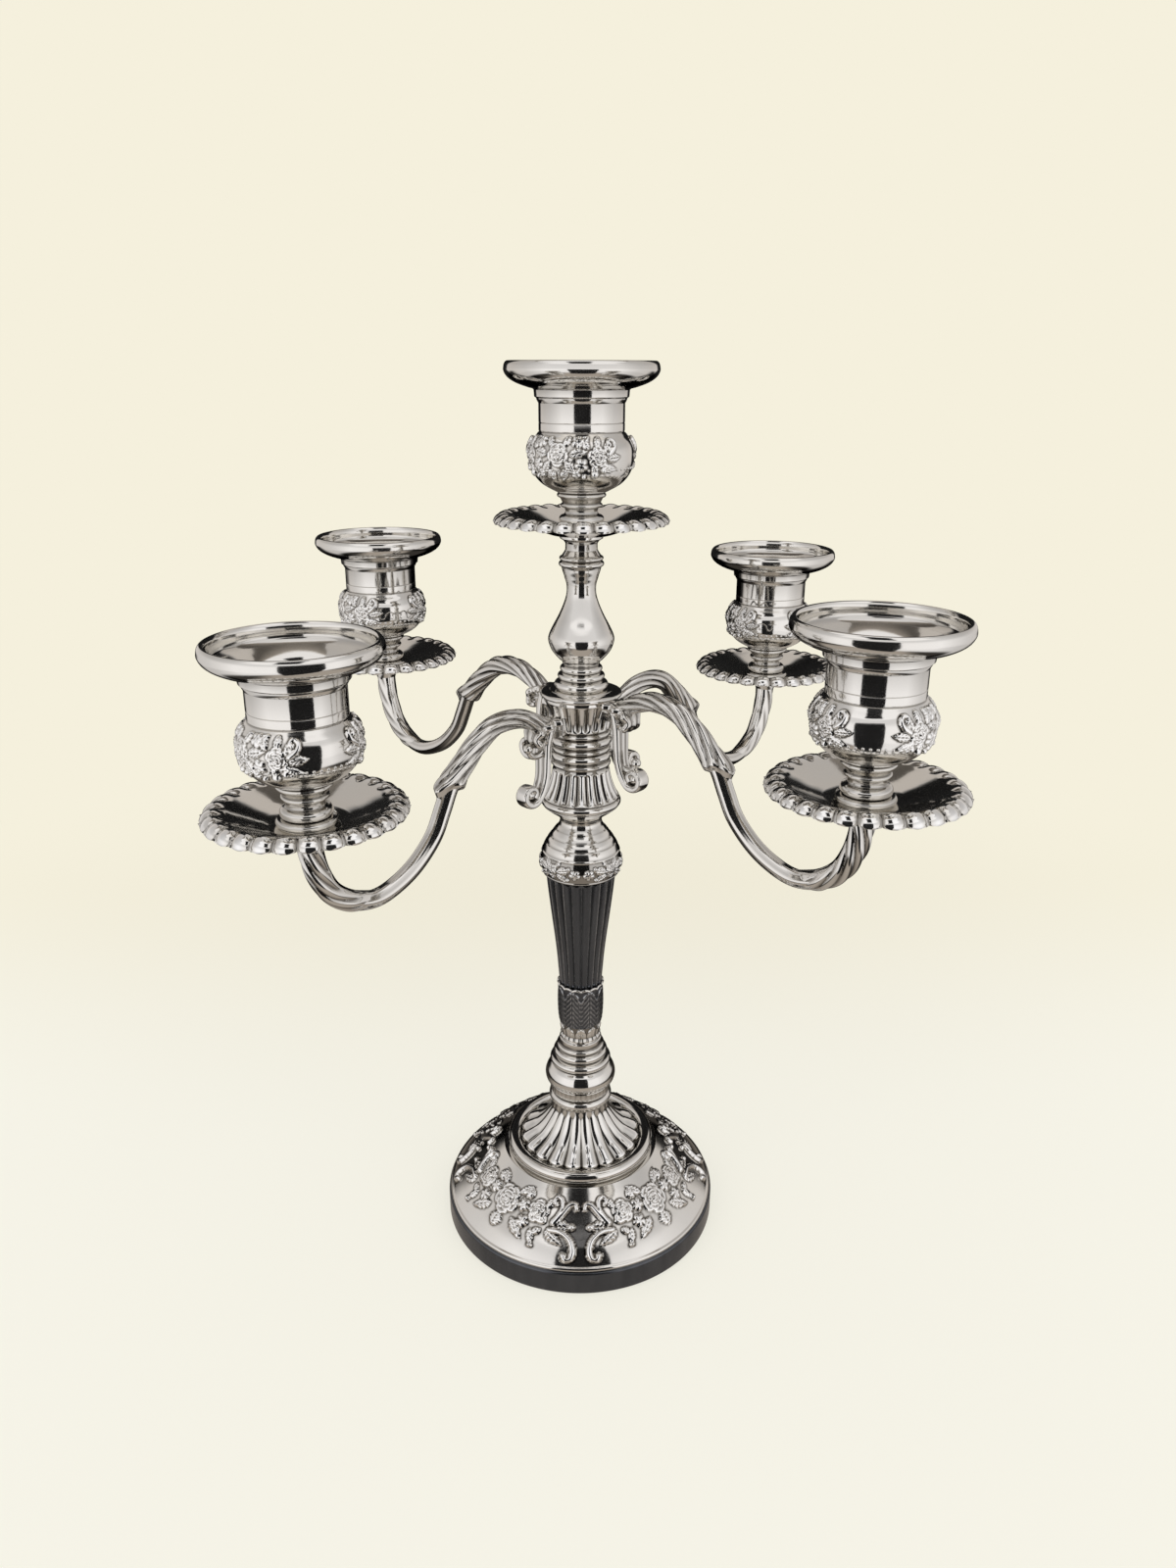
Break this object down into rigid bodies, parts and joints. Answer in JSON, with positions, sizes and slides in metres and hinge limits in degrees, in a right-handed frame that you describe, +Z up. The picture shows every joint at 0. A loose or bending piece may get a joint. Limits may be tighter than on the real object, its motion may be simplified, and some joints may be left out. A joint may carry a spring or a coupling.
{
  "type": "tabletop candelabra",
  "caption": "Silver-plated tabletop candelabra with a domed foot, a turned and fluted column, S-curved arms and vase-shaped candle cups on scalloped drip pans.",
  "frame": {"origin": "centre of the felt's underside, on the table", "axes": "+Z up along the column; +Y away from the viewer of the picture; the arms lie on the diagonals of X and Y"},
  "size_m": [0.1846, 0.1846, 0.275],
  "materials": {
    "silver_plate": "bright silver plate, darkened in the recesses of the relief",
    "gunmetal": "dark satin gunmetal",
    "steel": "plain zinc-plated steel, hidden",
    "iron": "raw cast iron, hidden",
    "felt": "black felt"
  },
  "bodies": {
    "frame": {"felt_pad": "felt", "base_plate": "steel", "base_weight": "iron", "foot_ring": "gunmetal", "base_dome": "silver_plate", "base_cone": "silver_plate", "baluster": "silver_plate", "leaf_cup": "gunmetal", "fluted_shaft": "gunmetal", "knop": "silver_plate", "hub_body": "silver_plate", "arm_pair_lower": "silver_plate", "arm_pair_upper": "silver_plate", "hub_cap": "silver_plate", "tie_rod": "steel", "rod_nut": "steel", "rod_washer": "steel", "arm_studs": "steel"},
    "upper_stem": {"upper_stem": "silver_plate", "centre_stud": "steel"},
    "pan_centre": {"pan_centre": "silver_plate"},
    "cup_centre": {"cup_centre": "silver_plate"},
    "pan_front_left": {"pan_front_left": "silver_plate"},
    "cup_front_left": {"cup_front_left": "silver_plate"},
    "pan_front_right": {"pan_front_right": "silver_plate"},
    "cup_front_right": {"cup_front_right": "silver_plate"},
    "pan_back_left": {"pan_back_left": "silver_plate"},
    "cup_back_left": {"cup_back_left": "silver_plate"},
    "pan_back_right": {"pan_back_right": "silver_plate"},
    "cup_back_right": {"cup_back_right": "silver_plate"}
  },
  "joints": [
    {"name": "upper_stem_turn", "type": "hinge", "parent": "frame", "child": "upper_stem", "pos_m": [0, 0, 0.19], "axis": [0, 0, 1], "continuous": true},
    {"name": "pan_centre_turn", "type": "hinge", "parent": "upper_stem", "child": "pan_centre", "pos_m": [0, 0, 0.2291], "axis": [0, 0, 1], "continuous": true},
    {"name": "cup_centre_turn", "type": "hinge", "parent": "pan_centre", "child": "cup_centre", "pos_m": [0, 0, 0.2301], "axis": [0, 0, 1], "continuous": true},
    {"name": "pan_front_left_turn", "type": "hinge", "parent": "frame", "child": "pan_front_left", "pos_m": [-0.06753, -0.06753, 0.1688], "axis": [0, 0, 1], "continuous": true},
    {"name": "cup_front_left_turn", "type": "hinge", "parent": "pan_front_left", "child": "cup_front_left", "pos_m": [-0.06753, -0.06753, 0.1698], "axis": [0, 0, 1], "continuous": true},
    {"name": "pan_front_right_turn", "type": "hinge", "parent": "frame", "child": "pan_front_right", "pos_m": [0.06753, -0.06753, 0.1736], "axis": [0, 0, 1], "continuous": true},
    {"name": "cup_front_right_turn", "type": "hinge", "parent": "pan_front_right", "child": "cup_front_right", "pos_m": [0.06753, -0.06753, 0.1746], "axis": [0, 0, 1], "continuous": true},
    {"name": "pan_back_left_turn", "type": "hinge", "parent": "frame", "child": "pan_back_left", "pos_m": [-0.06753, 0.06753, 0.1736], "axis": [0, 0, 1], "continuous": true},
    {"name": "cup_back_left_turn", "type": "hinge", "parent": "pan_back_left", "child": "cup_back_left", "pos_m": [-0.06753, 0.06753, 0.1746], "axis": [0, 0, 1], "continuous": true},
    {"name": "pan_back_right_turn", "type": "hinge", "parent": "frame", "child": "pan_back_right", "pos_m": [0.06753, 0.06753, 0.1688], "axis": [0, 0, 1], "continuous": true},
    {"name": "cup_back_right_turn", "type": "hinge", "parent": "pan_back_right", "child": "cup_back_right", "pos_m": [0.06753, 0.06753, 0.1698], "axis": [0, 0, 1], "continuous": true}
  ]
}
